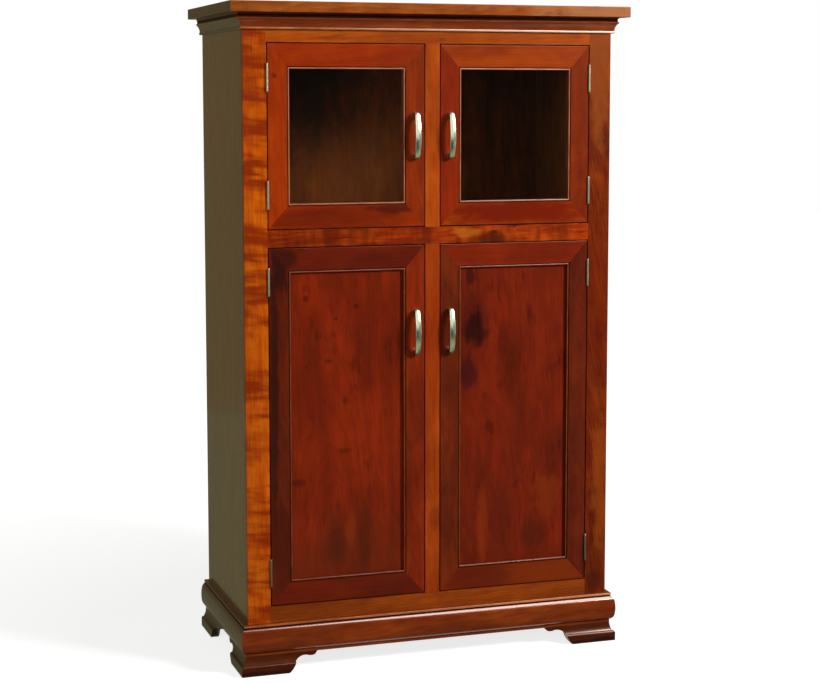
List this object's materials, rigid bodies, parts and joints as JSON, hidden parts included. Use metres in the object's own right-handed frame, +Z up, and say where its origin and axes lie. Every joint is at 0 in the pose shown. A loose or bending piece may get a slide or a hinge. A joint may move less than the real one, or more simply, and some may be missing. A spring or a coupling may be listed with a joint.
{
  "type": "hutch cabinet",
  "caption": "Free-standing cupboard in cherry with glazed doors over panelled doors in a face frame, under a moulded crown, on a moulded base with bracket feet.",
  "frame": {"origin": "on the floor, under the middle of the whole cabinet's plan", "axes": "+Z up, -Y is the side with the doors, +X to the right as one faces the doors"},
  "size_m": [0.986, 0.474, 1.569],
  "materials": {
    "cherry": "satin lacquer over stained cherry",
    "cherry_panels": "satin lacquer over stained cherry, darker",
    "cherry_sides": "satin lacquer over stained cherry, in shade",
    "inside_wood": "stained and sealed",
    "satin_nickel": "satin nickel plate",
    "catch_body": "moulded",
    "glass": "clear float glass"
  },
  "bodies": {
    "carcass": {"top_slab": "cherry", "crown_front": "cherry", "crown_left": "cherry_sides", "crown_right": "cherry_sides", "side_left": "cherry_sides", "side_right": "cherry_sides", "sub_top": "inside_wood", "middle_panel": "inside_wood", "bottom_panel": "inside_wood", "back_panel": "inside_wood", "frame_stile_left": "cherry", "frame_stile_right": "cherry", "frame_rail_top": "cherry", "frame_rail_middle": "cherry", "frame_rail_bottom": "cherry", "frame_mullion_upper": "cherry", "frame_mullion_lower": "cherry", "base_front": "cherry", "base_left": "cherry_sides", "base_right": "cherry_sides", "foot_front_left": "cherry", "foot_front_right": "cherry", "foot_back_left": "cherry_sides", "foot_back_right": "cherry_sides", "shelf": "inside_wood", "shelf_pins": "satin_nickel", "door_catches": "catch_body", "hinge_frame_leaves": "satin_nickel", "hinge_pins": "satin_nickel", "hinge_frame_screws": "satin_nickel"},
    "door_upper_left": {"upper_left_hinge_stile": "cherry", "upper_left_pull_stile": "cherry", "upper_left_rails": "cherry", "upper_left_glass": "glass", "upper_left_glass_stops": "inside_wood", "upper_left_pull": "satin_nickel", "upper_left_hinge_leaves": "satin_nickel", "upper_left_fixings": "satin_nickel"},
    "door_upper_right": {"upper_right_hinge_stile": "cherry", "upper_right_pull_stile": "cherry", "upper_right_rails": "cherry", "upper_right_glass": "glass", "upper_right_glass_stops": "inside_wood", "upper_right_pull": "satin_nickel", "upper_right_hinge_leaves": "satin_nickel", "upper_right_fixings": "satin_nickel"},
    "door_lower_left": {"lower_left_hinge_stile": "cherry", "lower_left_pull_stile": "cherry", "lower_left_rails": "cherry", "lower_left_panel": "cherry_panels", "lower_left_pull": "satin_nickel", "lower_left_hinge_leaves": "satin_nickel", "lower_left_fixings": "satin_nickel"},
    "door_lower_right": {"lower_right_hinge_stile": "cherry", "lower_right_pull_stile": "cherry", "lower_right_rails": "cherry", "lower_right_panel": "cherry_panels", "lower_right_pull": "satin_nickel", "lower_right_hinge_leaves": "satin_nickel", "lower_right_fixings": "satin_nickel"}
  },
  "joints": [
    {"name": "door_upper_left_hinge", "type": "hinge", "parent": "carcass", "child": "door_upper_left", "pos_m": [-0.40075, -0.204, 1.262], "axis": [0, 0, -1], "range_deg": [0, 175]},
    {"name": "door_upper_right_hinge", "type": "hinge", "parent": "carcass", "child": "door_upper_right", "pos_m": [0.40075, -0.204, 1.262], "axis": [0, 0, 1], "range_deg": [0, 175]},
    {"name": "door_lower_left_hinge", "type": "hinge", "parent": "carcass", "child": "door_lower_left", "pos_m": [-0.40075, -0.204, 0.5825], "axis": [0, 0, -1], "range_deg": [0, 175]},
    {"name": "door_lower_right_hinge", "type": "hinge", "parent": "carcass", "child": "door_lower_right", "pos_m": [0.40075, -0.204, 0.5825], "axis": [0, 0, 1], "range_deg": [0, 175]}
  ]
}
